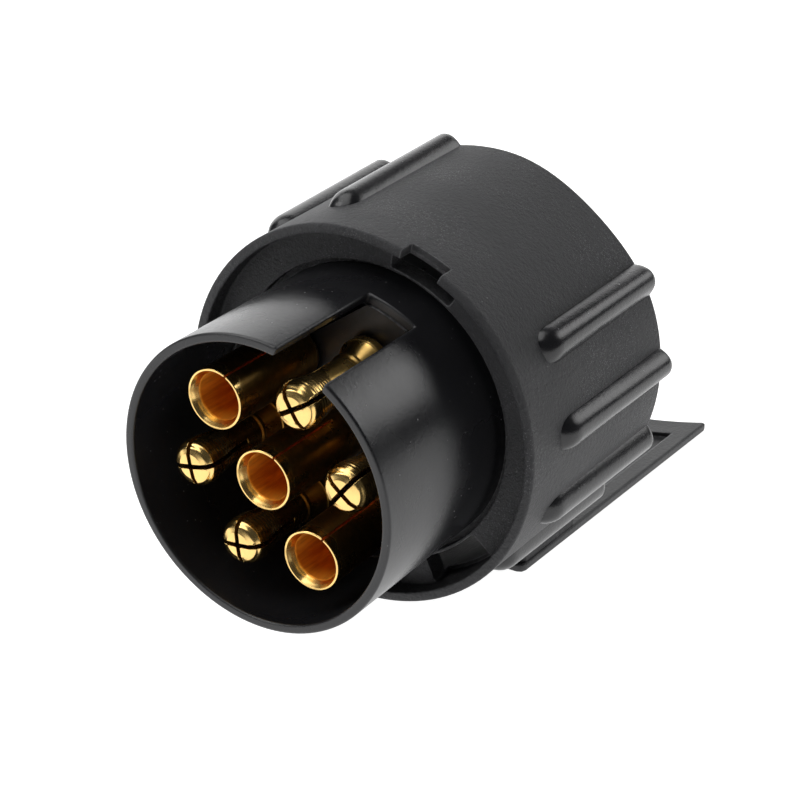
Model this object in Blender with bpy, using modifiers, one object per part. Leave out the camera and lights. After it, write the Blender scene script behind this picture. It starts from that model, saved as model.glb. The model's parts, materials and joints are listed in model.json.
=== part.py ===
"""Short seven-to-thirteen-way trailer wiring adapter, built the way the real one is put together.

Metres, +Z up.  The connector axis runs along world Y: the seven-way plug faces -Y, the
thirteen-way socket faces +Y.  The world origin is on the floor under the middle of the part.
Every piece hangs on the empty AXIS, whose local -Z is the connector axis, so "depth" below always
means millimetres behind the plug mouth, and angles are measured in the plane across the axis from
world +X towards world +Z.
"""
import bpy
import bmesh
import math
from mathutils import Matrix

MM = 0.001
FIT = 0.3                    # gap left between two touching pieces

# ---- seven-way plug shell and the collar round it
SHELL_R = 20.5
SHELL_BORE_R = 19.25
FACE_DEPTH = 20.0            # face the front contacts stand on
WALL_BACK = 25.0             # rear side of that wall
KEY_ANGLE = 66.0
KEY_WIDTH = 7.5
KEY_DEPTH = 19.6
COLLAR_R = 27.3
COLLAR_BORE_R = 25.9
COLLAR_DEPTH = 23.0
LEDGE_DEPTH = 26.0
LEDGE_R = 21.5
LEDGE_BACK = 29.0

# ---- body and its grip ribs
BODY_BACK = 59.0
BODY_REAR_R = 27.9
BODY_BORE_R = 25.3
TUBE_R = 21.3
TUBE_BORE_R = 19.0
TUBE_BACK = 45.0
RIB_PITCH = 360.0 / 14.0
RIB_FIRST = 1.5
RIB_COUNT = 12
RIB_R = 2.3
RIB_CENTRE_FRONT_R = 26.7
RIB_CENTRE_BACK_R = 27.6
RIB_FRONT = 30.2

# ---- openings through the ledge and the notch in the collar rim
WINDOW_HALF = 12.5
WINDOW_IN_R = 21.9
NOTCH_HALF = 6.8
NOTCH_BACK = 25.6

# ---- bayonet lugs inside the rear socket
LUG_HALF = 9.0
LUG_IN_R = 23.6
LUG_FRONT = 51.0
LUG_BACK = 54.5

# ---- lid rest: the flat tongue under the body that runs out behind it
REST_X = 0.5
REST_HALF_FRONT = 14.5
REST_HALF_BACK = 17.3
REST_FRONT = 42.5
REST_BACK = 99.2
REST_LOW = -29.4
REST_HIGH = -28.0
REST_ARC_R = 34.5
REST_ARC_DEPTH = 94.7
POCKET_FRONT = 63.0
POCKET_BORDER = 2.8
POCKET_END_BORDER = 4.8
POCKET_FLOOR = 0.7

# ---- front contacts
PITCH_R = 11.85
FIRST_CONTACT = 126.0
PIN_TIP = 2.3
SLEEVE_TIP = 2.15
STEM_R = 2.0
STEM_BACK = 30.0
CUP_R = 1.2
CUP_DEEP = 3.2

# ---- thirteen-way insert
INSERT_FRONT = 38.0
STEM_WALL = 1.5
HEAD_FLOOR = 43.0
HEAD_FRONT = 46.6
HEAD_BACK = 57.2
HEAD_R = 20.6
OUTER_RING_R = 14.0
INNER_RING_R = 6.6
WAY_R = 2.2
WAY_BORE_R = 1.5
WAY_FRONT = 38.5
WAY_TAIL_R = 1.8
WAY_FLANGE_R = 2.9
WAY_BACK = 56.9
REAR_KEY_ANGLE = 90.0
SEAL_DEPTH = 45.3
SEAL_THICK = 1.0

# ---- jumper wires
WIRE_R = 0.9


def clear_scene():
    for obj in list(bpy.data.objects):
        bpy.data.objects.remove(obj, do_unlink=True)


def collection(name):
    group = bpy.data.collections.new(name)
    bpy.context.scene.collection.children.link(group)
    return group


clear_scene()
PARTS = collection("trailer_adapter")
CUTTERS = collection("cutters")
AXIS = bpy.data.objects.new("axis", None)
PARTS.objects.link(AXIS)
AXIS.rotation_euler = (math.radians(90.0), 0.0, 0.0)
AXIS.location = (0.0, -REST_BACK / 2 * MM, -REST_LOW * MM)

COLOURS = {
    "housing_black": (0.018, 0.018, 0.020, 0.45, 0.0),
    "insert_black": (0.028, 0.028, 0.030, 0.55, 0.0),
    "seal_rubber": (0.035, 0.035, 0.037, 0.80, 0.0),
    "contact_brass": (0.72, 0.50, 0.20, 0.25, 1.0),
    "way_brass": (0.66, 0.48, 0.22, 0.30, 1.0),
    "wire_yellow": (0.85, 0.65, 0.05, 0.50, 0.0),
    "wire_blue": (0.04, 0.12, 0.55, 0.50, 0.0),
    "wire_white": (0.85, 0.85, 0.82, 0.50, 0.0),
    "wire_green": (0.05, 0.40, 0.10, 0.50, 0.0),
    "wire_brown": (0.22, 0.10, 0.04, 0.50, 0.0),
    "wire_red": (0.60, 0.04, 0.03, 0.50, 0.0),
    "wire_grey": (0.25, 0.25, 0.26, 0.50, 0.0),
}


def material(node_name, colour):
    red, green, blue, rough, metal = COLOURS[colour]
    mat = bpy.data.materials.new(node_name + "_mat")
    mat.use_nodes = True
    shader = mat.node_tree.nodes["Principled BSDF"]
    shader.inputs["Base Color"].default_value = (red, green, blue, 1.0)
    shader.inputs["Roughness"].default_value = rough
    shader.inputs["Metallic"].default_value = metal
    return mat


def polar(radius, angle):
    turn = math.radians(angle)
    return radius * math.cos(turn), radius * math.sin(turn)


def adopt(obj, group):
    group.objects.link(obj)
    obj.parent = AXIS
    return obj


def hide_cutter(obj):
    obj.hide_render = True
    obj.display_type = "WIRE"
    return obj


def mesh_object(name, bm, group, smooth=True):
    bmesh.ops.recalc_face_normals(bm, faces=bm.faces)
    mesh = bpy.data.meshes.new(name)
    bm.to_mesh(mesh)
    bm.free()
    for face in mesh.polygons:
        face.use_smooth = smooth
    return adopt(bpy.data.objects.new(name, mesh), group)


def lathe(name, profile, steps, group, closed=False):
    """Turn a (radius, depth) outline, listed front to back on the outside, about the axis."""
    bm = bmesh.new()
    ring = [bm.verts.new((r * MM, 0.0, -d * MM)) for r, d in profile]
    for first, second in zip(ring, ring[1:]):
        bm.edges.new((first, second))
    if closed:
        bm.edges.new((ring[-1], ring[0]))
    mesh = bpy.data.meshes.new(name)
    bm.to_mesh(mesh)
    bm.free()
    obj = adopt(bpy.data.objects.new(name, mesh), group)
    screw = obj.modifiers.new("turn", "SCREW")
    screw.axis = "Z"
    screw.steps = steps
    screw.render_steps = steps
    screw.use_merge_vertices = True
    screw.merge_threshold = 0.00001
    screw.use_smooth_shade = True
    return obj


def cylinder(name, radius, front, back, centre, group, segments=24):
    bm = bmesh.new()
    bmesh.ops.create_cone(bm, cap_ends=True, segments=segments, radius1=radius * MM,
                          radius2=radius * MM, depth=(back - front) * MM)
    bmesh.ops.translate(bm, verts=bm.verts,
                        vec=(centre[0] * MM, centre[1] * MM, -(front + back) / 2 * MM))
    return mesh_object(name, bm, group)


def block(name, low, high, group, turn=0.0):
    """A box between two (across, up, depth) corners, turned about the axis by an angle."""
    bm = bmesh.new()
    bmesh.ops.create_cube(bm, size=1.0)
    size = [abs(b - a) * MM for a, b in zip(low, high)]
    mid = [(a + b) / 2 * MM for a, b in zip(low, high)]
    bmesh.ops.scale(bm, verts=bm.verts, vec=size)
    bmesh.ops.translate(bm, verts=bm.verts, vec=(mid[0], mid[1], -mid[2]))
    spin = Matrix.Rotation(math.radians(turn), 3, "Z")
    bmesh.ops.rotate(bm, verts=bm.verts, cent=(0, 0, 0), matrix=spin)
    return mesh_object(name, bm, group, smooth=False)


def plate(name, front, back, inset, low, high):
    """A flat piece of the lid rest: it widens towards the back, inset from the rest's sides."""
    bm = bmesh.new()
    rings = []
    for depth in (front, back):
        along = (depth - REST_FRONT) / (REST_BACK - REST_FRONT)
        half = REST_HALF_FRONT + along * (REST_HALF_BACK - REST_HALF_FRONT) - inset
        corners = ((-half, low), (half, low), (half, high), (-half, high))
        rings.append([bm.verts.new(((REST_X + x) * MM, y * MM, -depth * MM)) for x, y in corners])
    for k in range(4):
        after = (k + 1) % 4
        bm.faces.new((rings[0][k], rings[0][after], rings[1][after], rings[1][k]))
    bm.faces.new(rings[0])
    bm.faces.new(list(reversed(rings[1])))
    return mesh_object(name, bm, CUTTERS, smooth=False)


def sectors(name, r_in, r_out, front, back, centres, half, group, steps=8):
    """Ring segments r_in..r_out, front..back deep, one per centre angle, in one object."""
    bm = bmesh.new()
    for centre in centres:
        rows = []
        for i in range(steps + 1):
            angle = centre - half + 2 * half * i / steps
            row = []
            for radius, depth in ((r_in, front), (r_out, front), (r_out, back), (r_in, back)):
                x, y = polar(radius, angle)
                row.append(bm.verts.new((x * MM, y * MM, -depth * MM)))
            rows.append(row)
        for a, b in zip(rows, rows[1:]):
            for k in range(4):
                bm.faces.new((a[k], a[(k + 1) % 4], b[(k + 1) % 4], b[k]))
        bm.faces.new(rows[0])
        bm.faces.new(list(reversed(rows[-1])))
    return mesh_object(name, bm, group, smooth=False)


def grip_ribs(name, group):
    """Round-ended bars sunk half into the body wall, a little prouder at the back."""
    bm = bmesh.new()
    for i in range(RIB_COUNT):
        angle = RIB_FIRST + RIB_PITCH * (i - RIB_COUNT + 2)
        made = bmesh.ops.create_uvsphere(bm, u_segments=12, v_segments=8, radius=RIB_R * MM)
        for vert in made["verts"]:
            reach, radius = RIB_FRONT + RIB_R, RIB_CENTRE_FRONT_R
            if vert.co.z < -1e-9:
                reach, radius = BODY_BACK - 1.3, RIB_CENTRE_BACK_R
                vert.co.z *= 0.5
            x, y = polar(radius, angle)
            vert.co.z -= reach * MM
            vert.co.x += x * MM
            vert.co.y += y * MM
    return mesh_object(name, bm, group)


def cut(target, tool, operation="DIFFERENCE"):
    mod = target.modifiers.new(tool.name, "BOOLEAN")
    mod.object = tool
    mod.operation = operation
    mod.solver = "EXACT"


def finish(obj, colour):
    obj.data.materials.clear()
    obj.data.materials.append(material(obj.name, colour))
    return obj


# ---------------------------------------------------------------- housing
HOUSING_PROFILE = [
    (0.0, FACE_DEPTH),
    (SHELL_BORE_R - 0.15, FACE_DEPTH),
    (SHELL_BORE_R, 0.5),
    (SHELL_BORE_R + 0.3, 0.0),
    (SHELL_R - 0.35, 0.0),
    (SHELL_R, 0.45),
    (SHELL_R + 0.15, LEDGE_DEPTH + 1.4),
    (LEDGE_R, LEDGE_DEPTH + 1.4),
    (LEDGE_R, LEDGE_DEPTH),
    (COLLAR_BORE_R, LEDGE_DEPTH),
    (COLLAR_BORE_R, COLLAR_DEPTH + 0.3),
    (COLLAR_BORE_R + 0.25, COLLAR_DEPTH),
    (COLLAR_R - 0.35, COLLAR_DEPTH),
    (COLLAR_R, COLLAR_DEPTH + 0.45),
    (BODY_REAR_R, BODY_BACK - 0.5),
    (BODY_REAR_R - 0.5, BODY_BACK),
    (BODY_BORE_R + 0.5, BODY_BACK),
    (BODY_BORE_R, BODY_BACK - 0.8),
    (BODY_BORE_R, LEDGE_BACK),
    (TUBE_R, LEDGE_BACK),
    (TUBE_R, TUBE_BACK),
    (TUBE_BORE_R, TUBE_BACK),
    (TUBE_BORE_R, WALL_BACK),
    (0.0, WALL_BACK),
]
housing = lathe("housing", HOUSING_PROFILE, 64, PARTS)

cut(housing, hide_cutter(grip_ribs("rib_bars", CUTTERS)), "UNION")

rest = plate("rest_plate", REST_FRONT, REST_BACK, 0.0, REST_LOW, REST_HIGH)
pedestal = plate("rest_pedestal", REST_FRONT + 0.8, BODY_BACK - 1.2, 0.7, REST_LOW + 0.4, -20.0)
core = cylinder("pedestal_core", BODY_BORE_R + 0.8, REST_FRONT - 2, BODY_BACK + 2,
                (0.0, 0.0), CUTTERS, 80)
pocket = plate("rest_pocket", POCKET_FRONT, REST_BACK, POCKET_BORDER,
               REST_LOW + POCKET_FLOOR, REST_HIGH + 1.0)
scallops = []
for name, extra in (("rest_scallop", 0.0), ("pocket_scallop", POCKET_END_BORDER)):
    scallop = cylinder(name, REST_ARC_R + extra, -8.0, 8.0, (0.0, 0.0), CUTTERS, 96)
    scallop.rotation_euler = (math.radians(90.0), 0.0, 0.0)
    scallop.location = (REST_X * MM, (REST_LOW + 5.0) * MM, -(REST_ARC_DEPTH + REST_ARC_R) * MM)
    scallops.append(scallop)
cut(rest, scallops[0])
cut(pocket, scallops[1])
cut(rest, pocket)
cut(pedestal, core)
for piece in (*scallops, pocket, core, rest, pedestal):
    hide_cutter(piece)
cut(housing, pedestal, "UNION")
cut(housing, rest, "UNION")

slot_out, slot_in = SHELL_R + 1.2, 14.0
keyway = block("keyway", (slot_in, -KEY_WIDTH / 2, -1.0),
               (slot_out, KEY_WIDTH / 2, KEY_DEPTH), CUTTERS, KEY_ANGLE)
window_angles = [KEY_ANGLE, KEY_ANGLE - 120.0, KEY_ANGLE + 120.0]
windows = sectors("windows", WINDOW_IN_R, COLLAR_BORE_R - 0.1, LEDGE_DEPTH - 1.0,
                  LEDGE_BACK + 1.0, window_angles, WINDOW_HALF, CUTTERS)
notch = sectors("rim_notch", COLLAR_BORE_R - 1.0, COLLAR_R + 1.0, COLLAR_DEPTH - 1.0,
                NOTCH_BACK, [KEY_ANGLE], NOTCH_HALF, CUTTERS, 2)
lugs = sectors("bayonet_lugs", LUG_IN_R, BODY_BORE_R + 0.6, LUG_FRONT, LUG_BACK,
               window_angles, LUG_HALF, CUTTERS, 6)
cut(housing, hide_cutter(keyway))
cut(housing, hide_cutter(windows))
cut(housing, hide_cutter(notch))
cut(housing, hide_cutter(lugs), "UNION")

# ---------------------------------------------------------------- front contacts
WAYS = ["centre"] + ["ring_%d" % k for k in range(1, 7)]
spots = {"centre": (0.0, 0.0)}
for k in range(6):
    spots["ring_%d" % (k + 1)] = polar(PITCH_R, FIRST_CONTACT - 60.0 * k)
SLEEVE_WAYS = ("centre", "ring_1", "ring_4")

PIN_PROFILE = [
    (0.0, PIN_TIP), (1.5, PIN_TIP), (2.35, PIN_TIP + 0.5), (2.8, PIN_TIP + 1.4),
    (2.95, PIN_TIP + 2.8), (2.85, PIN_TIP + 4.2), (2.5, PIN_TIP + 6.2), (2.5, 14.4),
    (2.7, 15.0), (2.7, 15.4), (2.1, 15.6), (2.1, 16.8), (3.0, 17.3), (3.6, 18.0),
    (3.6, 19.0), (3.2, FACE_DEPTH - FIT), (STEM_R, FACE_DEPTH - FIT),
    (STEM_R, STEM_BACK - 0.3), (STEM_R - 0.3, STEM_BACK), (0.0, STEM_BACK),
]
SLEEVE_PROFILE = [
    (0.0, 17.0), (3.05, 16.0), (3.05, SLEEVE_TIP + 0.5), (3.72, SLEEVE_TIP),
    (4.0, SLEEVE_TIP), (4.14, SLEEVE_TIP + 0.2), (4.14, 18.6), (3.8, FACE_DEPTH - FIT),
    (STEM_R, FACE_DEPTH - FIT), (STEM_R, STEM_BACK - 0.3), (STEM_R - 0.3, STEM_BACK),
    (0.0, STEM_BACK),
]
CROSS_TURN = {"ring_2": 29.0, "ring_3": 50.0, "ring_5": 5.0, "ring_6": 10.0}

holes = bmesh.new()
for way in WAYS:
    x, y = spots[way]
    shift = Matrix.Translation((x * MM, y * MM, -(FACE_DEPTH + WALL_BACK) / 2 * MM))
    bmesh.ops.create_cone(holes, cap_ends=True, segments=24, radius1=(STEM_R + FIT) * MM,
                          radius2=(STEM_R + FIT) * MM, depth=(WALL_BACK - FACE_DEPTH + 2) * MM,
                          matrix=shift)
contact_holes = hide_cutter(mesh_object("contact_holes", holes, CUTTERS))
cut(housing, contact_holes)
finish(housing, "housing_black")

for way in WAYS:
    is_sleeve = way in SLEEVE_WAYS
    kind = "front_sleeve_" if is_sleeve else "front_pin_"
    profile = SLEEVE_PROFILE if is_sleeve else PIN_PROFILE
    contact = lathe(kind + way, profile, 18, PARTS)
    x, y = spots[way]
    contact.location = (x * MM, y * MM, 0.0)
    if not is_sleeve:
        turn = CROSS_TURN[way]
        for number, extra in enumerate((0.0, 90.0)):
            saw = block("saw_%s_%d" % (way, number), (-4.0, -0.28, 1.0),
                        (4.0, 0.28, 11.5 + number), CUTTERS, turn + extra)
            saw.location = contact.location
            cut(contact, hide_cutter(saw))
    cup = cylinder("cup_" + way, CUP_R, STEM_BACK - CUP_DEEP, STEM_BACK + 1.0, (x, y), CUTTERS, 16)
    cut(contact, hide_cutter(cup))
    finish(contact, "contact_brass")

# ---------------------------------------------------------------- thirteen-way insert
INSERT_PROFILE = [
    (0.0, HEAD_FLOOR), (TUBE_BORE_R - FIT - STEM_WALL, HEAD_FLOOR),
    (TUBE_BORE_R - FIT - STEM_WALL, INSERT_FRONT), (TUBE_BORE_R - FIT, INSERT_FRONT),
    (TUBE_BORE_R - FIT, HEAD_FRONT), (HEAD_R, HEAD_FRONT), (HEAD_R, HEAD_BACK - 0.6),
    (HEAD_R - 0.6, HEAD_BACK), (0.0, HEAD_BACK),
]
insert = lathe("socket_insert", INSERT_PROFILE, 32, PARTS)
rear_ways = []
for k in range(8):
    rear_ways.append(polar(OUTER_RING_R, REAR_KEY_ANGLE + 40.0 * (k + 1)))
for k in range(5):
    rear_ways.append(polar(INNER_RING_R, REAR_KEY_ANGLE + 36.0 + 72.0 * k))
bores = bmesh.new()
bore_corner_r = (WAY_R + FIT) / math.cos(math.pi / 12)
for x, y in rear_ways:
    shift = Matrix.Translation((x * MM, y * MM, -(HEAD_FRONT + HEAD_BACK) / 2 * MM))
    bmesh.ops.create_cone(bores, cap_ends=True, segments=12, radius1=bore_corner_r * MM,
                          radius2=bore_corner_r * MM, depth=(HEAD_BACK - HEAD_FRONT + 9) * MM,
                          matrix=shift)
cut(insert, hide_cutter(mesh_object("way_bores", bores, CUTTERS)))
rear_key = block("rear_key", (HEAD_R - 2.2, -2.0, HEAD_FRONT + 1.2),
                 (HEAD_R + 1.0, 2.0, HEAD_BACK + 1.0), CUTTERS, REAR_KEY_ANGLE)
cut(insert, hide_cutter(rear_key))
finish(insert, "insert_black")

SEAL_PROFILE = [
    (TUBE_BORE_R, SEAL_DEPTH), (TUBE_R + 0.4, SEAL_DEPTH), (TUBE_R + 0.6, SEAL_DEPTH + 0.5),
    (TUBE_R + 0.4, SEAL_DEPTH + SEAL_THICK), (TUBE_BORE_R, SEAL_DEPTH + SEAL_THICK),
]
seal = lathe("insert_seal", SEAL_PROFILE, 48, PARTS, closed=True)
finish(seal, "seal_rubber")

WAY_PROFILE = [
    (0.0, WAY_BACK - 11.0), (WAY_BORE_R, WAY_BACK - 11.8), (WAY_BORE_R, WAY_BACK - 0.4),
    (WAY_BORE_R + 0.3, WAY_BACK), (WAY_R - 0.2, WAY_BACK), (WAY_R, WAY_BACK - 0.3),
    (WAY_R, HEAD_FLOOR - FIT), (WAY_FLANGE_R, HEAD_FLOOR - FIT),
    (WAY_FLANGE_R, HEAD_FLOOR - 1.2), (WAY_TAIL_R, HEAD_FLOOR - 1.3), (WAY_TAIL_R, WAY_FRONT),
    (CUP_R, WAY_FRONT), (CUP_R, WAY_FRONT + 2.4), (0.0, WAY_FRONT + 2.8),
]
for number, (x, y) in enumerate(rear_ways, 1):
    way = lathe("rear_way_%02d" % number, list(reversed(WAY_PROFILE)), 14, PARTS)
    way.location = (x * MM, y * MM, 0.0)
    finish(way, "way_brass")

# ---------------------------------------------------------------- jumper wires
WIRE_COLOURS = ("wire_yellow", "wire_blue", "wire_white", "wire_green", "wire_brown",
                "wire_red", "wire_grey")
WIRE_ROUTES = (("centre", 11), ("ring_1", 1), ("ring_2", 8), ("ring_3", 7), ("ring_4", 5),
               ("ring_5", 4), ("ring_6", 2))


def wire(name, start, end):
    """A round wire, straight where it sits in the two cups and swept sideways between them."""
    head, tail = STEM_BACK - CUP_DEEP + 0.5, WAY_FRONT + 2.0
    free_front, free_back = STEM_BACK + 0.4, WAY_FRONT - 0.4
    steps = 10
    course = [(start[0], start[1], head)]
    for i in range(steps + 1):
        blend = 0.5 - 0.5 * math.cos(math.pi * i / steps)
        depth = free_front + (free_back - free_front) * i / steps
        course.append((start[0] + (end[0] - start[0]) * blend,
                       start[1] + (end[1] - start[1]) * blend, depth))
    course.append((end[0], end[1], tail))
    data = bpy.data.curves.new(name, "CURVE")
    data.dimensions = "3D"
    data.bevel_depth = WIRE_R * MM
    data.bevel_resolution = 2
    data.use_fill_caps = True
    spline = data.splines.new("POLY")
    spline.points.add(len(course) - 1)
    for point, (x, y, depth) in zip(spline.points, course):
        point.co = (x * MM, y * MM, -depth * MM, 1.0)
    return adopt(bpy.data.objects.new(name, data), PARTS)


for (way, number), colour in zip(WIRE_ROUTES, WIRE_COLOURS):
    finish(wire("wire_" + way, spots[way], rear_ways[number - 1]), colour)
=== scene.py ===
"""Looks for the trailer wiring adapter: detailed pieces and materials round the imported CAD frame.

The connector axis runs along Y and the plug mouth faces -Y.  Lengths in the tables below are
millimetres; "depth" is the distance behind the plug mouth, and angles are measured in the plane
across the axis from +X towards +Z.
"""

import json
import math

import bmesh
import bpy
from mathutils import Matrix, Vector


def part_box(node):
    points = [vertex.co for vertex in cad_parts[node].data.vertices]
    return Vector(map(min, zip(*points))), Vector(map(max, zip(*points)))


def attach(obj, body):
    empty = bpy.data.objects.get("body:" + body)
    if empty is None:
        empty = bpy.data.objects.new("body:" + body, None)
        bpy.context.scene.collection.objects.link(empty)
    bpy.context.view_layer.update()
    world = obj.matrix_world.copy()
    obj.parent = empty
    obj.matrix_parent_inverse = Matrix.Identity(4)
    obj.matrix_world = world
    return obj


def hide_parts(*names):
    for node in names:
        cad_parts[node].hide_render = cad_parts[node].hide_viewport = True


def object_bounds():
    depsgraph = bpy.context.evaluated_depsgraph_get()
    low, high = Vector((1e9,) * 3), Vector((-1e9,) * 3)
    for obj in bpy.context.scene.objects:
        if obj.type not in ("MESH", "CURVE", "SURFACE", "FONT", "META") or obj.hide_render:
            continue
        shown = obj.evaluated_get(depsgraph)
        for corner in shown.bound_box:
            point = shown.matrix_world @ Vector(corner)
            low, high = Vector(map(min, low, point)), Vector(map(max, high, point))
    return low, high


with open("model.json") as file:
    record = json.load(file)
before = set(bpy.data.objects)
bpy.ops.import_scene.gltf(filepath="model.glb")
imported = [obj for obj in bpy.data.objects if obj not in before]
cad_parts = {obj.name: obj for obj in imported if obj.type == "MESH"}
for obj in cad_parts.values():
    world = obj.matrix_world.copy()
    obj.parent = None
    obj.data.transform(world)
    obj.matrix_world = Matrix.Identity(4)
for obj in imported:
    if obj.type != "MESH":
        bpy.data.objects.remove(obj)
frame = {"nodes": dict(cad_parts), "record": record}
cad_low, cad_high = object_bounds()

MM = 0.001
sleeve_low, sleeve_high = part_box("front_sleeve_centre")
MOUTH = Vector(((sleeve_low[0] + sleeve_high[0]) / 2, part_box("housing")[0][1],
                (sleeve_low[2] + sleeve_high[2]) / 2))
FLOOR_Z = cad_low[2]

# ---- camera, relative to the middle of the plug mouth
CAM_AZIMUTH = 33.2
CAM_ELEVATION = 25.16
CAM_ROLL = -1.18
CAM_DISTANCE = 241.3
CAM_SIDE = 18.44
CAM_RISE = 10.90
CAM_LENS = 86.97

# ---- housing
SHELL_R = 20.5
SHELL_BORE_R = 19.25
FACE_DEPTH = 20.0
WALL_BACK = 25.0
KEY_ANGLE = 66.0
KEY_WIDTH = 7.5
COLLAR_R = 27.3
COLLAR_BORE_R = 25.9
COLLAR_DEPTH = 23.0
LEDGE_DEPTH = 26.0
LEDGE_R = 21.5
LEDGE_BACK = 29.0
BODY_BACK = 59.0
BODY_REAR_R = 27.9
BODY_BORE_R = 25.3
TUBE_R = 21.3
TUBE_BORE_R = 19.0
TUBE_BACK = 45.0
FLAT_HALF = 34.0
FLAT_FRONT_ANGLE, FLAT_BACK_ANGLE = 72.0, 50.0
FLAT_FRONT_DROP, FLAT_BACK_DROP = 0.5, 0.8

RIB_PITCH = 360.0 / 14.0
RIB_FIRST = 1.5
RIB_COUNT = 12
RIB_FRONT, RIB_BACK = 29.9, 59.3
RIB_HALF = 2.75
RIB_ROOT_R = 26.6
RIB_CREST_FRONT, RIB_CREST_BACK = 28.95, 29.9

WINDOW_HALF, WINDOW_IN_R = 12.5, 21.9
NOTCH_HALF, NOTCH_BACK = 6.7, 25.6
LUG_HALF, LUG_IN_R, LUG_FRONT, LUG_BACK = 9.0, 23.6, 51.0, 54.5

REST_X = 0.5
REST_HALF_FRONT, REST_HALF_BACK = 14.5, 17.3
REST_FRONT, REST_BACK = 42.5, 99.2
REST_LOW, REST_HIGH = -29.4, -28.0
REST_ARC_R, REST_ARC_DEPTH = 34.5, 94.7
POCKET_FRONT, POCKET_BORDER, POCKET_END_BORDER, POCKET_FLOOR = 63.0, 2.8, 4.8, 0.6

# ---- contacts
PITCH_R = 11.85
FIRST_CONTACT = 126.0
SLEEVE_WAYS = ("centre", "ring_1", "ring_4")
CROSS_TURN = {"ring_2": 29.0, "ring_3": 50.0, "ring_5": 5.0, "ring_6": 10.0}
STEM_R, STEM_BACK = 2.0, 30.0
CUP_R, CUP_DEEP = 1.2, 3.2

# ---- thirteen-way insert
HEAD_R, HEAD_FRONT, HEAD_FLOOR, HEAD_BACK = 20.6, 46.6, 43.0, 57.2
OUTER_RING_R, INNER_RING_R = 14.0, 6.6
WAY_R, WAY_BORE_R, WAY_FRONT, WAY_BACK = 2.2, 1.5, 38.5, 56.9
REAR_KEY_ANGLE = 90.0


# ================================================================ small tools
def polar(radius, angle):
    turn = math.radians(angle)
    return radius * math.cos(turn), radius * math.sin(turn)


def ways():
    spots = {"centre": (0.0, 0.0)}
    for k in range(6):
        spots["ring_%d" % (k + 1)] = polar(PITCH_R, FIRST_CONTACT - 60.0 * k)
    return spots


def fillet(corners, closed=False, steps=4):
    """Round a polyline's corners.  Each corner is (radius, depth) or (radius, depth, rounding)."""
    count = len(corners)
    course = []
    for i, corner in enumerate(corners):
        here = Vector(corner[:2])
        rounding = corner[2] if len(corner) > 2 else 0.0
        ends = not closed and i in (0, count - 1)
        if rounding <= 0.0 or ends:
            course.append(tuple(here))
            continue
        before = Vector(corners[i - 1][:2]) - here
        after = Vector(corners[(i + 1) % count][:2]) - here
        half = before.angle(after) / 2
        reach = min(rounding / math.tan(half), 0.49 * before.length, 0.49 * after.length)
        start, end = here + before.normalized() * reach, here + after.normalized() * reach
        for k in range(steps + 1):
            t = k / steps
            pull = (1 - t) ** 2 * start + 2 * t * (1 - t) * here + t ** 2 * end
            course.append(tuple(pull))
    return course


def mesh_piece(name, bm, at=(0.0, 0.0, 0.0)):
    """Turn a bmesh in millimetres (across, depth, up) into an object standing at the connector."""
    bmesh.ops.recalc_face_normals(bm, faces=bm.faces)
    bmesh.ops.scale(bm, verts=bm.verts, vec=(MM, MM, MM))
    mesh = bpy.data.meshes.new(name)
    bm.to_mesh(mesh)
    bm.free()
    for face in mesh.polygons:
        face.use_smooth = True
    obj = bpy.data.objects.new(name, mesh)
    bpy.context.scene.collection.objects.link(obj)
    obj.location = MOUTH + Vector(at) * MM
    return obj


def turned(profile, segments, closed=False, start=0.0):
    """Rings of a (radius, depth) outline swept about the connector axis, as a bmesh."""
    bm = bmesh.new()
    rings = []
    for k in range(segments):
        ring = []
        for radius, depth in profile:
            x, z = polar(radius, start + 360.0 * k / segments)
            ring.append(bm.verts.new((x, depth, z)))
        rings.append(ring)
    count = len(profile)
    spans = count if closed else count - 1
    for k, ring in enumerate(rings):
        other = rings[(k + 1) % segments]
        for i in range(spans):
            j = (i + 1) % count
            quad = (ring[i], ring[j], other[j], other[i])
            if profile[i][0] > 1e-6 or profile[j][0] > 1e-6:
                bm.faces.new(quad)
    bmesh.ops.remove_doubles(bm, verts=bm.verts, dist=1e-5)
    return bm


def loft(loops):
    """Skin closed loops of (across, depth, up) points, all of one count, and close the ends."""
    bm = bmesh.new()
    rows = [[bm.verts.new(point) for point in loop] for loop in loops]
    for a, b in zip(rows, rows[1:]):
        for i in range(len(a)):
            j = (i + 1) % len(a)
            bm.faces.new((a[i], a[j], b[j], b[i]))
    bm.faces.new(rows[0])
    bm.faces.new(list(reversed(rows[-1])))
    return bm


def sectors(r_in, r_out, front, back, centres, half, steps=12, rounding=0.0):
    """Ring segments as one bmesh: r_in..r_out, front..back deep, one per centre angle."""
    bm = bmesh.new()
    for centre in centres:
        rows = []
        for i in range(steps + 1):
            angle = centre - half + 2 * half * i / steps
            row = []
            for radius, depth in ((r_in, front), (r_out, front), (r_out, back), (r_in, back)):
                x, z = polar(radius, angle)
                row.append(bm.verts.new((x, depth, z)))
            rows.append(row)
        for a, b in zip(rows, rows[1:]):
            for k in range(4):
                bm.faces.new((a[k], a[(k + 1) % 4], b[(k + 1) % 4], b[k]))
        ends = [bm.faces.new(rows[0]), bm.faces.new(list(reversed(rows[-1])))]
        if rounding:
            sides = [e for f in ends for e in f.edges
                     if abs(e.verts[0].co.y - e.verts[1].co.y) > 0.5]
            bmesh.ops.bevel(bm, geom=sides, offset=rounding, segments=3, affect="EDGES",
                            profile=0.5)
    return bm


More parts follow.
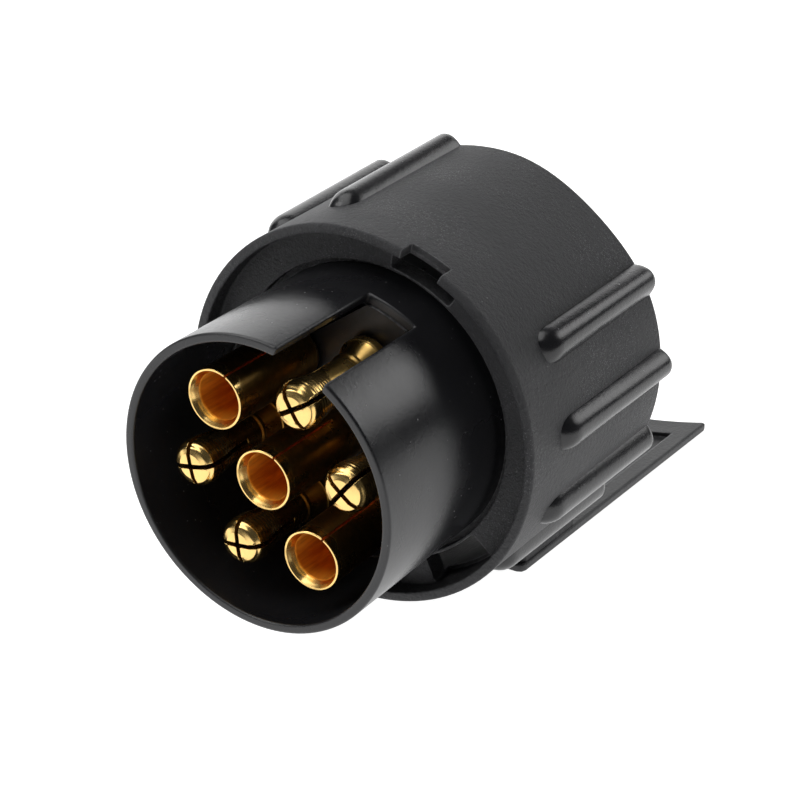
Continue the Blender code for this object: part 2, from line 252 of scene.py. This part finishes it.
def box_bm(low, high, turn=0.0):
    """A box between two (across, depth, up) corners, turned about the connector axis."""
    bm = bmesh.new()
    bmesh.ops.create_cube(bm, size=1.0)
    bmesh.ops.scale(bm, verts=bm.verts, vec=[b - a for a, b in zip(low, high)])
    bmesh.ops.translate(bm, verts=bm.verts, vec=[(a + b) / 2 for a, b in zip(low, high)])
    spin = Matrix.Rotation(-math.radians(turn), 3, "Y")
    bmesh.ops.rotate(bm, verts=bm.verts, cent=(0, 0, 0), matrix=spin)
    return bm


def carve(target, tool, operation="DIFFERENCE"):
    mod = target.modifiers.new(tool.name, "BOOLEAN")
    mod.object = tool
    mod.operation = operation
    mod.solver = "EXACT"
    tool.hide_render = True
    tool.display_type = "WIRE"


def settle(obj):
    """Apply an object's modifiers, then drop the hidden tools that they used."""
    tools = [mod.object for mod in obj.modifiers if mod.type == "BOOLEAN"]
    depsgraph = bpy.context.evaluated_depsgraph_get()
    mesh = bpy.data.meshes.new_from_object(obj.evaluated_get(depsgraph))
    obj.modifiers.clear()
    obj.data = mesh
    for tool in tools:
        bpy.data.objects.remove(tool, do_unlink=True)
    return obj


def soften(obj, width, segments=2, angle=32.0):
    """Round every hard edge of a settled mesh and weight its normals by face area."""
    bevel = obj.modifiers.new("edges", "BEVEL")
    bevel.width = width * MM
    bevel.segments = segments
    bevel.limit_method = "ANGLE"
    bevel.angle_limit = math.radians(angle)
    bevel.use_clamp_overlap = False
    bevel.harden_normals = True
    weights = obj.modifiers.new("weights", "WEIGHTED_NORMAL")
    weights.mode = "FACE_AREA"
    weights.weight = 60
    weights.keep_sharp = True
    for face in obj.data.polygons:
        face.use_smooth = True
    return obj


def crisp(obj, angle=32.0):
    """Keep a settled mesh's hard edges sharp and weight its other normals by face area."""
    for face in obj.data.polygons:
        face.use_smooth = True
    obj.data.set_sharp_from_angle(angle=math.radians(angle))
    weights = obj.modifiers.new("weights", "WEIGHTED_NORMAL")
    weights.mode = "FACE_AREA"
    weights.keep_sharp = True
    return obj


def wear(obj, mat, nodes):
    """Give a piece its material, hang it under the root body and hide the CAD parts that it
    replaces.
    """
    obj.data.materials.clear()
    obj.data.materials.append(mat)
    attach(obj, "root")
    if nodes:
        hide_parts(*nodes)
    return obj


# ================================================================ materials
class Shader:
    """A material's node tree, with short calls for the nodes used below."""

    def __init__(self, name):
        self.mat = bpy.data.materials.new(name)
        self.mat.use_nodes = True
        self.tree = self.mat.node_tree
        self.body = self.tree.nodes["Principled BSDF"]
        self.coords = self.tree.nodes.new("ShaderNodeTexCoord").outputs["Object"]

    def link(self, source, target):
        self.tree.links.new(source, target)

    def add(self, kind, **settings):
        node = self.tree.nodes.new(kind)
        for key, value in settings.items():
            setattr(node, key, value)
        return node

    def noise(self, scale, detail=3.0, rough=0.5, vector=None):
        node = self.add("ShaderNodeTexNoise")
        node.inputs["Scale"].default_value = scale
        node.inputs["Detail"].default_value = detail
        node.inputs["Roughness"].default_value = rough
        self.link(vector or self.coords, node.inputs["Vector"])
        return node.outputs["Fac"]

    def cells(self, scale, feature="F1"):
        node = self.add("ShaderNodeTexVoronoi", feature=feature)
        node.inputs["Scale"].default_value = scale
        self.link(self.coords, node.inputs["Vector"])
        return node.outputs["Distance"]

    def span(self, value, low, high, to_low=0.0, to_high=1.0):
        node = self.add("ShaderNodeMapRange", interpolation_type="SMOOTHSTEP")
        node.inputs["From Min"].default_value = low
        node.inputs["From Max"].default_value = high
        node.inputs["To Min"].default_value = to_low
        node.inputs["To Max"].default_value = to_high
        self.link(value, node.inputs["Value"])
        return node.outputs["Result"]

    def math(self, operation, a, b):
        node = self.add("ShaderNodeMath", operation=operation)
        for socket, value in zip(node.inputs, (a, b)):
            if isinstance(value, (int, float)):
                socket.default_value = value
            else:
                self.link(value, socket)
        return node.outputs[0]

    def blend(self, amount, a, b, how="MIX"):
        node = self.add("ShaderNodeMix", data_type="RGBA", blend_type=how)
        self.link(amount, node.inputs["Factor"])
        for socket, value in zip((node.inputs[6], node.inputs[7]), (a, b)):
            if isinstance(value, tuple):
                socket.default_value = (*value, 1.0)
            else:
                self.link(value, socket)
        return node.outputs[2]

    def axis(self, index):
        node = self.add("ShaderNodeSeparateXYZ")
        self.link(self.coords, node.inputs[0])
        return node.outputs[index]

    def edge(self, rounded, low=0.015, high=0.16):
        """How far a rounded normal turns from the true one: 0 on a flat, 1 on an edge."""
        plain = self.add("ShaderNodeNewGeometry").outputs["Normal"]
        dot = self.add("ShaderNodeVectorMath", operation="DOT_PRODUCT")
        self.link(rounded, dot.inputs[0])
        self.link(plain, dot.inputs[1])
        turned_away = self.math("SUBTRACT", 1.0, dot.outputs["Value"])
        return self.span(turned_away, low, high)

    def bump(self, height, strength, distance, under=None):
        node = self.add("ShaderNodeBump")
        node.inputs["Strength"].default_value = strength
        node.inputs["Distance"].default_value = distance
        self.link(height, node.inputs["Height"])
        if under is not None:
            self.link(under, node.inputs["Normal"])
        return node.outputs["Normal"]


def moulded_plastic(name, tone, rough, grain, blotch, specks, painted_glint=0.0):
    """Black moulded plastic: spark-eroded grain, uneven gloss, pale dust, edges lightened partly as
    rubbed wear and partly as a painted highlight, and, where given, painted glints on the grain.
    """
    s = Shader(name)
    cloud = s.noise(60.0, 4.0, 0.55)
    colour = s.blend(s.span(cloud, 0.3, 0.7), tuple(c * 0.85 for c in tone),
                     tuple(c * 1.15 for c in tone))
    rounded = s.add("ShaderNodeBevel", samples=6)
    rounded.inputs["Radius"].default_value = 0.00042
    edge_zone = s.edge(rounded.outputs[0])
    # Edges are lightened in the colour: partly rubbed wear, partly a painted highlight where light
    # catches the rounded edges.
    edge_wear_and_painted_highlight = s.math("MULTIPLY", edge_zone, s.span(s.noise(900.0), 0.35, 0.6, 0.25, 0.9))
    colour = s.blend(edge_wear_and_painted_highlight, colour, tuple(c * 2.5 + 0.11 for c in tone))
    patch = s.span(s.noise(260.0), 0.50, 0.66)
    dust = s.math("MULTIPLY", s.span(s.cells(900.0), 0.12, 0.05), patch)
    colour = s.blend(s.math("MULTIPLY", dust, specks), colour, (0.40, 0.40, 0.40))
    # Painted glints: small pale spots in the colour stand in for light glinting off the grain.
    if painted_glint:
        painted_glints = s.math("MULTIPLY", s.span(s.cells(3600.0), 0.30, 0.12),
                        s.span(s.noise(70.0, 3.0), 0.38, 0.66))
        colour = s.blend(s.math("MULTIPLY", painted_glints, painted_glint), colour, (0.24, 0.24, 0.25))
    s.link(colour, s.body.inputs["Base Color"])
    gloss = s.math("ADD", s.span(cloud, 0.25, 0.75, rough - blotch, rough + blotch),
                   s.math("MULTIPLY", dust, 0.25))
    s.link(gloss, s.body.inputs["Roughness"])
    wave = s.bump(s.noise(140.0, 2.0), 0.10, 0.0004, rounded.outputs[0])
    coarse = s.bump(s.noise(1500.0, 4.0, 0.65), grain, 0.00030, wave)
    s.link(s.bump(s.noise(4200.0, 2.0, 0.6), grain, 0.00012, coarse), s.body.inputs["Normal"])
    return s.mat


def turned_brass(name, bright, root_colour, from_depth, to_depth, rough, mark):
    """Brass that shifts from a tip colour to a root colour with depth, with turning marks; on the
    front pins the dark root colour is painted shade, and their lit copy is painted light.
    """
    s = Shader(name)
    drift = s.math("MULTIPLY", s.math("SUBTRACT", s.noise(260.0, 4.0), 0.5), 0.008)
    along = s.span(s.math("ADD", s.axis(1), drift), from_depth * MM, to_depth * MM)
    cloud = s.span(s.noise(300.0, 4.0, 0.6), 0.35, 0.70)
    gold = s.blend(cloud, bright, tuple(c * 0.88 for c in bright))
    brown = s.blend(cloud, root_colour, tuple(c * 0.62 for c in root_colour))
    colour = s.blend(along, gold, brown)
    spots = s.math("MULTIPLY", s.span(s.cells(1500.0), 0.14, 0.06),
                   s.span(s.noise(200.0), 0.5, 0.6))
    colour = s.blend(s.math("MULTIPLY", spots, 0.6), colour, (0.20, 0.10, 0.03))
    s.link(colour, s.body.inputs["Base Color"])
    s.body.inputs["Metallic"].default_value = 1.0
    gloss = s.span(s.noise(300.0, 4.0), 0.3, 0.7, rough - 0.04, rough + 0.06)
    s.link(s.math("ADD", gloss, s.math("MULTIPLY", along, 0.10)), s.body.inputs["Roughness"])
    lines = s.add("ShaderNodeTexWave", wave_type="BANDS", bands_direction="Y")
    lines.inputs["Scale"].default_value = 520.0
    lines.inputs["Distortion"].default_value = 1.0
    s.link(s.coords, lines.inputs["Vector"])
    turning = s.math("MULTIPLY", lines.outputs["Fac"], s.span(along, 0.0, 1.0, 1.0, 0.12))
    s.link(s.bump(s.noise(1800.0, 3.0), 0.02, 0.00004,
                  s.bump(turning, mark, 0.00005)), s.body.inputs["Normal"])
    return s.mat


def bore_brass(name):
    """The reamed inside of a sleeve: warm orange brass, streaked along its length."""
    s = Shader(name)
    stretch = s.add("ShaderNodeMapping")
    stretch.inputs["Scale"].default_value = (1.0, 0.12, 1.0)
    s.link(s.coords, stretch.inputs["Vector"])
    streak = s.span(s.noise(900.0, 4.0, 0.6, stretch.outputs[0]), 0.35, 0.68)
    s.link(s.blend(streak, (0.98, 0.43, 0.045), (0.64, 0.23, 0.018)), s.body.inputs["Base Color"])
    s.body.inputs["Metallic"].default_value = 0.55
    s.link(s.span(streak, 0.0, 1.0, 0.30, 0.42), s.body.inputs["Roughness"])
    s.link(s.bump(streak, 0.2, 0.00005), s.body.inputs["Normal"])
    return s.mat


SHELL_MAT = moulded_plastic("shell_plastic", (0.010, 0.010, 0.0115), 0.28, 0.08, 0.05, 0.50)
# The grip body's colour carries painted glints on its grain.
BODY_MAT = moulded_plastic("grip_plastic", (0.027, 0.027, 0.0295), 0.58, 1.0, 0.05, 0.40, 0.7)
RIB_MAT = moulded_plastic("rib_plastic", (0.011, 0.011, 0.0125), 0.24, 0.12, 0.04, 0.30)
REST_MAT = moulded_plastic("rest_plastic", (0.022, 0.022, 0.024), 0.46, 0.30, 0.05, 0.30)
INSERT_MAT = moulded_plastic("insert_plastic", (0.014, 0.014, 0.015), 0.45, 0.25, 0.05, 0.25)
SEAL_MAT = moulded_plastic("seal_rubber", (0.022, 0.022, 0.023), 0.70, 0.40, 0.05, 0.20)
# Front pins: the dark root colour is painted shade deep in the plug mouth; the pin behind the
# keyway window gets a painted lit copy with a bright root.
PIN_MAT = turned_brass("pin_brass", (0.97, 0.66, 0.24), (0.50, 0.28, 0.07), 6.0, 9.0, 0.19, 0.5)
PAINTED_LIT_PIN_MAT = turned_brass("painted_lit_pin_brass", (0.97, 0.66, 0.24), (0.93, 0.60, 0.19), 6.0, 9.0, 0.2,
                           0.5)
SLEEVE_MAT = turned_brass("sleeve_brass", (0.97, 0.66, 0.24), (0.50, 0.29, 0.08), 2.6, 4.5, 0.19,
                          0.12)
WAY_MAT = turned_brass("rear_way_brass", (0.60, 0.38, 0.15), (0.88, 0.64, 0.27), 44.0, 55.0, 0.24,
                       0.20)
BORE_MAT = bore_brass("bore_brass")


def insulation(name, tone):
    """Wire insulation: slightly uneven gloss and shade, with a faint drawn grain."""
    s = Shader(name)
    cloud = s.noise(500.0, 4.0)
    s.link(s.blend(s.span(cloud, 0.3, 0.7), tuple(c * 0.85 for c in tone), tone),
           s.body.inputs["Base Color"])
    s.link(s.span(s.noise(900.0), 0.3, 0.7, 0.38, 0.52), s.body.inputs["Roughness"])
    s.link(s.bump(s.noise(2400.0), 0.2, 0.00005), s.body.inputs["Normal"])
    return s.mat


# ================================================================ housing
def draw_in(bm):
    """Flatten the body a little between the two ribs beside the keyway."""
    for vert in bm.verts:
        angle = math.degrees(math.atan2(vert.co.z, vert.co.x))
        radius = math.hypot(vert.co.x, vert.co.z)
        if radius < COLLAR_BORE_R - 0.05:
            continue
        back = (vert.co.y - COLLAR_DEPTH) / (BODY_BACK - COLLAR_DEPTH)
        centre = FLAT_FRONT_ANGLE + (FLAT_BACK_ANGLE - FLAT_FRONT_ANGLE) * back
        drop = FLAT_FRONT_DROP + (FLAT_BACK_DROP - FLAT_FRONT_DROP) * back
        away = abs(angle - centre) / FLAT_HALF
        if away < 1.0:
            drop *= 0.5 + 0.5 * math.cos(math.pi * away)
            vert.co.x *= (radius - drop) / radius
            vert.co.z *= (radius - drop) / radius


shell_profile = [
    (0.0, FACE_DEPTH), (SHELL_BORE_R - 0.15, FACE_DEPTH), (SHELL_BORE_R, 0.0), (SHELL_R, 0.0),
    (SHELL_R + 0.15, LEDGE_DEPTH + 1.6), (TUBE_R, LEDGE_DEPTH + 1.6), (TUBE_R, TUBE_BACK),
    (TUBE_BORE_R, TUBE_BACK), (TUBE_BORE_R, WALL_BACK), (0.0, WALL_BACK),
]
SEGMENTS = 128
MID_FACET = KEY_ANGLE + 180.0 / SEGMENTS
shell = mesh_piece("plug_shell", turned(shell_profile, SEGMENTS, start=MID_FACET))
carve(shell, mesh_piece("keyway", box_bm((14.0, -1.0, -KEY_WIDTH / 2),
                                         (SHELL_R + 0.5, FACE_DEPTH - 0.02, KEY_WIDTH / 2),
                                         KEY_ANGLE)))
stem_holes = bmesh.new()
for x, z in ways().values():
    bmesh.ops.create_cone(stem_holes, cap_ends=True, segments=32, radius1=STEM_R + 0.3,
                          radius2=STEM_R + 0.3, depth=WALL_BACK - FACE_DEPTH + 2.0,
                          matrix=Matrix.Translation((x, (FACE_DEPTH + WALL_BACK) / 2, z))
                          @ Matrix.Rotation(math.radians(90.0), 4, "X"))
carve(shell, mesh_piece("stem_holes", stem_holes))
soften(settle(shell), 0.28, 3)
wear(shell, SHELL_MAT, ["housing"])

body_profile = fillet([
    (SHELL_R + 0.17, LEDGE_DEPTH + 1.4), (LEDGE_R, LEDGE_DEPTH + 1.4, 0.1),
    (LEDGE_R, LEDGE_DEPTH, 0.15), (COLLAR_BORE_R, LEDGE_DEPTH, 0.2),
    (COLLAR_BORE_R, COLLAR_DEPTH, 0.25), (COLLAR_R, COLLAR_DEPTH, 0.35),
    (COLLAR_R + 0.03, 25.0), (COLLAR_R + 0.06, 27.0), (COLLAR_R + 0.1, 30.0),
    (COLLAR_R + 0.2, 36.0), (COLLAR_R + 0.35, 44.0), (COLLAR_R + 0.5, 52.0),
    (BODY_REAR_R, BODY_BACK, 0.6), (BODY_BORE_R, BODY_BACK, 0.5), (BODY_BORE_R, LEDGE_BACK),
    (SHELL_R + 0.17, LEDGE_BACK)], closed=True)
grip_bm = turned(body_profile, SEGMENTS, closed=True, start=MID_FACET)
draw_in(grip_bm)
grip = mesh_piece("grip_body", grip_bm)
window_angles = [KEY_ANGLE + 0.3, KEY_ANGLE - 119.7, KEY_ANGLE + 120.3]
carve(grip, mesh_piece("windows", sectors(WINDOW_IN_R, COLLAR_BORE_R - 0.02, LEDGE_DEPTH - 0.35,
                                          LEDGE_BACK + 1.0, window_angles, WINDOW_HALF,
                                          rounding=0.45)))
carve(grip, mesh_piece("rim_notch", sectors(COLLAR_BORE_R - 1.6, COLLAR_R + 1.0,
                                            COLLAR_DEPTH - 1.0, NOTCH_BACK, [KEY_ANGLE],
                                            NOTCH_HALF, 4)))
carve(grip, mesh_piece("bayonet_lugs", sectors(LUG_IN_R, BODY_BORE_R + 0.6, LUG_FRONT, LUG_BACK,
                                               window_angles, LUG_HALF)), "UNION")
crisp(settle(grip))
wear(grip, BODY_MAT, ["housing"])


def rib_bm(angle):
    """A long bar with a round crest and flared feet: domed in front, a little proud behind."""
    along, around = 44, 28
    ax, az = polar(1.0, angle)
    loops = []
    for i in range(along + 1):
        depth = RIB_FRONT + (RIB_BACK - RIB_FRONT) * (0.5 - 0.5 * math.cos(math.pi * i / along))
        front = min((depth - RIB_FRONT) / 3.0, 1.0)
        back = min((RIB_BACK - depth) / 1.3, 1.0)
        swell = math.sqrt(max(1.0 - (1.0 - front) ** 2, 0.0025))
        swell *= math.sqrt(max(1.0 - (1.0 - back) ** 2, 0.01))
        slope = (depth - RIB_FRONT) / (RIB_BACK - RIB_FRONT)
        crest = RIB_CREST_FRONT + (RIB_CREST_BACK - RIB_CREST_FRONT) * slope
        loop = []
        for k in range(around + 1):
            side = 2.0 * k / around - 1.0
            rise = max(1.0 - abs(side) ** 2.2, 0.0) ** 0.75
            across = RIB_HALF * side * (0.35 + 0.65 * swell)
            up = RIB_ROOT_R + (crest - RIB_ROOT_R) * rise * swell
            loop.append((up * ax - across * az, depth, up * az + across * ax))
        for across in (RIB_HALF * 0.5 * swell, -RIB_HALF * 0.5 * swell):
            up = RIB_ROOT_R - 0.6
            loop.append((up * ax - across * az, depth, up * az + across * ax))
        loops.append(loop)
    return loft(loops)


for number in range(RIB_COUNT):
    rib_angle = RIB_FIRST + RIB_PITCH * (number - RIB_COUNT + 2)
    rib = mesh_piece("grip_rib_%02d" % (number + 1), rib_bm(rib_angle))
    wear(rib, RIB_MAT, ["housing"])


def rest_outline(inset):
    """The lid rest's outline seen from above, inset evenly: a taper with a hollowed end."""
    half = REST_HALF_BACK - inset
    end_turn = math.asin((half - 0.5) / REST_ARC_R)
    arc_r = REST_ARC_R + inset
    points = []
    for k in range(33):
        turn = -end_turn + 2 * end_turn * k / 32
        points.append((REST_X + arc_r * math.sin(turn),
                       REST_ARC_DEPTH + REST_ARC_R - arc_r * math.cos(turn)))
    tip = points[-1]
    points.append((REST_X + half - 0.12, tip[1] - 0.15))
    foot_half = REST_HALF_FRONT - inset
    foot = REST_FRONT + inset
    side = [(REST_X + half + (foot_half - half) * k / 16,
             tip[1] - 0.6 + (foot + 1.0 - tip[1] + 0.6) * k / 16) for k in range(17)]
    side.append((REST_X + foot_half - 0.3, foot + 0.3))
    front = [(REST_X + foot_half - 1.0 - (2 * foot_half - 2.0) * k / 12, foot)
             for k in range(13)]
    other = [(2 * REST_X - x, depth) for x, depth in reversed(side)]
    return points + side + front + other + [(REST_X - half + 0.12, tip[1] - 0.15)]


def rest_bm():
    """Lid rest plate: rounded edges all round and a shallow pocket in its upper face."""
    edge, height = 0.35, REST_HIGH - REST_LOW
    loops = []
    for k in range(5):
        turn = math.pi / 2 * k / 4
        loops.append((edge * (1 - math.sin(turn)), REST_LOW + edge * (1 - math.cos(turn))))
    for k in range(5):
        turn = math.pi / 2 * k / 4
        loops.append((edge * (1 - math.cos(turn)), REST_LOW + height - edge * (1 - math.sin(turn))))
    return loft([[(x, depth, up) for x, depth in rest_outline(inset)] for inset, up in loops])


def pocket_outline():
    """The pocket's outline: its sides and its hollowed end follow the rest's own."""
    arc_r = REST_ARC_R + POCKET_END_BORDER
    half = REST_HALF_BACK - 0.3 - POCKET_BORDER
    end_turn = math.asin(half / arc_r)
    arc = []
    for k in range(21):
        turn = -end_turn + 2 * end_turn * k / 20
        arc.append((REST_X + arc_r * math.sin(turn),
                    REST_ARC_DEPTH + REST_ARC_R - arc_r * math.cos(turn)))
    near = REST_HALF_FRONT + 1.0 - POCKET_BORDER
    return arc + [(REST_X + near, POCKET_FRONT), (REST_X - near, POCKET_FRONT)]


rest = mesh_piece("lid_rest", rest_bm())
carve(rest, mesh_piece("pocket", loft([[(x, depth, up) for x, depth in pocket_outline()]
                                       for up in (REST_LOW + POCKET_FLOOR, REST_HIGH + 1.0)])))
crisp(settle(rest), 40.0)
wear(rest, REST_MAT, ["housing"])


def web_bm():
    """The web that joins the lid rest to the underside of the body."""
    wall_r = BODY_BORE_R + 1.2
    loops = []
    for depth, shrink in ((REST_FRONT + 0.8, 0.7), (REST_FRONT + 1.5, 0.0),
                          (BODY_BACK - 1.9, 0.0), (BODY_BACK - 1.2, 0.7)):
        along = (depth - REST_FRONT) / (REST_BACK - REST_FRONT)
        half = REST_HALF_FRONT + (REST_HALF_BACK - REST_HALF_FRONT) * along - 0.3 - shrink
        loop = [(REST_X - half, depth, REST_LOW + 0.6), (REST_X + half, depth, REST_LOW + 0.6)]
        for k in range(13):
            x = REST_X + half * (1.0 - 2.0 * k / 12)
            loop.append((x, depth, -math.sqrt(wall_r ** 2 - x ** 2)))
        loops.append(loop)
    return loft(loops)


web = mesh_piece("rest_web", web_bm())
crisp(web, 40.0)
wear(web, BODY_MAT, ["housing"])


# ================================================================ front contacts
PIN_PROFILE = [
    (0.0, 2.3), (1.7, 2.36, 0.6), (2.55, 2.72, 0.7), (3.12, 3.5, 0.7), (3.25, 4.5, 0.9),
    (3.12, 5.9, 1.0), (2.85, 7.2, 1.2), (2.58, 8.8, 0.8), (2.55, 14.5, 0.1), (2.78, 14.75, 0.1),
    (2.78, 15.25, 0.1), (2.15, 15.5, 0.1), (2.15, 15.9, 0.2), (3.45, 17.9, 0.2),
    (3.62, 18.0, 0.1), (3.62, 19.2, 0.25), (3.2, 19.7), (STEM_R, 19.7), (STEM_R, STEM_BACK, 0.2),
    (CUP_R, STEM_BACK, 0.1), (CUP_R, STEM_BACK - CUP_DEEP), (0.0, STEM_BACK - CUP_DEEP - 0.4),
]
SLEEVE_PROFILE = [
    (0.0, 17.0), (3.15, 16.2), (3.2, 3.5, 0.2), (3.3, 3.3, 0.1), (3.85, 2.16, 0.08),
    (4.14, 2.16, 0.14), (4.14, 18.9, 0.3), (3.8, 19.7), (STEM_R, 19.7), (STEM_R, STEM_BACK, 0.2),
    (CUP_R, STEM_BACK, 0.1), (CUP_R, STEM_BACK - CUP_DEEP), (0.0, STEM_BACK - CUP_DEEP - 0.4),
]


def line_bore(obj, radius, back):
    """Give a second material to the faces inside a sleeve's bore."""
    obj.data.materials.append(BORE_MAT)
    for face in obj.data.polygons:
        inside = math.hypot(face.center.x, face.center.z) < radius * MM
        if inside and face.center.y < back * MM:
            face.material_index = 1


for way, (x, z) in ways().items():
    is_sleeve = way in SLEEVE_WAYS
    label = ("front_sleeve_" if is_sleeve else "front_pin_") + way
    outline = fillet(SLEEVE_PROFILE if is_sleeve else PIN_PROFILE)
    contact = mesh_piece("contact_" + label, turned(outline, 64, start=1.7), at=(x, 0.0, z))
    if is_sleeve:
        seam = box_bm((2.6, 0.0, -0.14), (5.0, 15.0, 0.14), 62.0)
        carve(contact, mesh_piece("seam_" + way, seam, at=(x, 0.0, z)))
    else:
        for number in range(2):
            saw = box_bm((-4.0, 0.0, -0.31), (4.0, 11.5 + number, 0.31),
                         CROSS_TURN[way] + 90.0 * number)
            carve(contact, mesh_piece("saw_%s_%d" % (way, number), saw, at=(x, 0.0, z)))
    settle(contact)
    soften(contact, 0.06, 2, 40.0)
    # The pin behind the keyway window takes the painted lit brass; the other pins keep the painted
    # shade at their roots.
    brass = PAINTED_LIT_PIN_MAT if way == "ring_2" else PIN_MAT
    wear(contact, SLEEVE_MAT if is_sleeve else brass, [label])
    if is_sleeve:
        line_bore(contact, 3.26, 18.0)


# ================================================================ rear insert
def rear_spots():
    spots = [polar(OUTER_RING_R, REAR_KEY_ANGLE + 40.0 * (k + 1)) for k in range(8)]
    spots += [polar(INNER_RING_R, REAR_KEY_ANGLE + 36.0 + 72.0 * k) for k in range(5)]
    return spots


insert_profile = fillet([
    (0.0, HEAD_FLOOR), (TUBE_BORE_R - 1.8, HEAD_FLOOR), (TUBE_BORE_R - 1.8, 38.0),
    (TUBE_BORE_R - 0.3, 38.0), (TUBE_BORE_R - 0.3, HEAD_FRONT), (HEAD_R, HEAD_FRONT, 0.3),
    (HEAD_R, HEAD_BACK, 0.5), (19.0, HEAD_BACK, 0.1), (18.6, HEAD_BACK - 0.5),
    (17.8, HEAD_BACK - 0.5), (17.4, HEAD_BACK, 0.1), (0.0, HEAD_BACK),
])
insert = mesh_piece("rear_insert", turned(insert_profile, 96, start=1.0))
holes_bm = bmesh.new()
for x, z in rear_spots():
    place = Matrix.Translation((x, 50.0, z)) @ Matrix.Rotation(math.radians(90.0), 4, "X")
    bmesh.ops.create_cone(holes_bm, cap_ends=True, segments=32, radius1=WAY_R + 0.3,
                          radius2=WAY_R + 0.3, depth=20.0, matrix=place)
carve(insert, mesh_piece("way_bores", holes_bm))
carve(insert, mesh_piece("rear_key", box_bm((HEAD_R - 2.2, HEAD_FRONT + 1.2, -2.0),
                                            (HEAD_R + 1.0, HEAD_BACK + 1.0, 2.0),
                                            REAR_KEY_ANGLE)))
crisp(settle(insert))
wear(insert, INSERT_MAT, ["socket_insert"])

SEAL_LOW, SEAL_HIGH = 45.35, 46.25
seal_profile = fillet([(19.05, SEAL_LOW, 0.2), (21.8, SEAL_LOW, 0.4), (21.8, SEAL_HIGH, 0.4),
                       (19.05, SEAL_HIGH, 0.2)], closed=True)
seal = mesh_piece("rubber_seal", turned(seal_profile, 96, closed=True))
wear(seal, SEAL_MAT, ["insert_seal"])

WAY_PROFILE = [
    (0.0, WAY_FRONT + 2.8), (CUP_R, WAY_FRONT + 2.4), (CUP_R, WAY_FRONT, 0.1),
    (1.8, WAY_FRONT, 0.15), (1.8, HEAD_FLOOR - 1.3), (2.9, HEAD_FLOOR - 1.2, 0.15),
    (2.9, HEAD_FLOOR - 0.3, 0.15), (WAY_R, HEAD_FLOOR - 0.3), (WAY_R, WAY_BACK, 0.25),
    (WAY_BORE_R + 0.3, WAY_BACK, 0.1), (WAY_BORE_R, WAY_BACK - 0.5, 0.2),
    (WAY_BORE_R, WAY_BACK - 11.8), (0.0, WAY_BACK - 12.4),
]
for number, (x, z) in enumerate(rear_spots(), 1):
    node = "rear_way_%02d" % number
    rear_way = mesh_piece("contact_" + node, turned(fillet(WAY_PROFILE), 40), at=(x, 0.0, z))
    soften(rear_way, 0.04, 2, 40.0)
    wear(rear_way, WAY_MAT, [node])

for body_slot in frame["record"]["materials"]:
    if not body_slot["slot"].startswith("wire_insulation"):
        continue
    coat = insulation(body_slot["slot"] + "_coat", tuple(body_slot["base_color"][:3]))
    for entry in frame["record"]["subparts"]:
        if entry["material_slot"] == body_slot["slot"]:
            frame["nodes"][entry["node"]].data.materials.clear()
            frame["nodes"][entry["node"]].data.materials.append(coat)


# ================================================================ stage, light, camera
def stage_floor():
    bm = bmesh.new()
    bmesh.ops.create_grid(bm, x_segments=1, y_segments=1, size=30.0)
    mesh = bpy.data.meshes.new("floor")
    bm.to_mesh(mesh)
    bm.free()
    floor = bpy.data.objects.new("floor", mesh)
    floor.location = (0.0, 0.0, FLOOR_Z - 0.0001)
    bpy.context.scene.collection.objects.link(floor)
    paper = Shader("white_paper")
    shade = paper.span(paper.noise(3.0), 0.3, 0.7, 0.44, 0.46)
    mix = paper.add("ShaderNodeCombineColor")
    for socket in mix.inputs[:3]:
        paper.link(shade, socket)
    paper.link(mix.outputs[0], paper.body.inputs["Base Color"])
    paper.body.inputs["Roughness"].default_value = 0.9
    paper.body.inputs["Specular IOR Level"].default_value = 0.1
    paper.body.inputs["Emission Color"].default_value = (1.0, 1.0, 1.0, 1.0)
    paper.body.inputs["Emission Strength"].default_value = 1.0
    mesh.materials.append(paper.mat)


def soft_light(name, place, aim, size, watts):
    data = bpy.data.lights.new(name, "AREA")
    data.shape = "RECTANGLE"
    data.size, data.size_y = size
    data.energy = watts
    lamp = bpy.data.objects.new(name, data)
    lamp.location = place
    lamp.rotation_euler = (Vector(aim) - Vector(place)).to_track_quat("-Z", "Y").to_euler()
    bpy.context.scene.collection.objects.link(lamp)


def stage_camera():
    a, e, r = (math.radians(v) for v in (CAM_AZIMUTH, CAM_ELEVATION, CAM_ROLL))
    back = Vector((math.sin(a) * math.cos(e), -math.cos(a) * math.cos(e), math.sin(e)))
    level = Vector((math.cos(a), math.sin(a), 0.0))
    upright = back.cross(level)
    right = level * math.cos(r) + upright * math.sin(r)
    up = upright * math.cos(r) - level * math.sin(r)
    data = bpy.data.cameras.new("camera")
    data.lens = CAM_LENS
    data.sensor_width = 36.0
    data.clip_start = 0.005
    data.clip_end = 20.0
    camera = bpy.data.objects.new("camera", data)
    turn = Matrix((right, up, back)).transposed()
    camera.rotation_euler = turn.to_euler()
    camera.location = MOUTH + (back * CAM_DISTANCE + right * CAM_SIDE + up * CAM_RISE) * MM
    bpy.context.scene.collection.objects.link(camera)
    bpy.context.scene.camera = camera


stage_floor()
stage_camera()
soft_light("overhead", (-0.25, -0.10, 0.80), (0.0, 0.0, 0.03), (0.9, 0.8), 5.0)
soft_light("back_left", (-0.75, 0.95, 0.42), (0.0, 0.0, 0.03), (1.7, 0.85), 7.5)
soft_light("back_right", (0.50, 0.95, 0.56), (0.0, 0.0, 0.03), (0.6, 0.5), 2.7)
soft_light("left_key", (-0.50, -0.45, 0.50), (0.0, -0.02, 0.03), (0.35, 0.35), 1.4)
world = bpy.data.worlds.new("studio")
world.use_nodes = True
world.node_tree.nodes["Background"].inputs["Color"].default_value = (0.93, 0.96, 1.0, 1.0)
world.node_tree.nodes["Background"].inputs["Strength"].default_value = 0.05
bpy.context.scene.world = world
bpy.context.scene.view_settings.view_transform = "Standard"
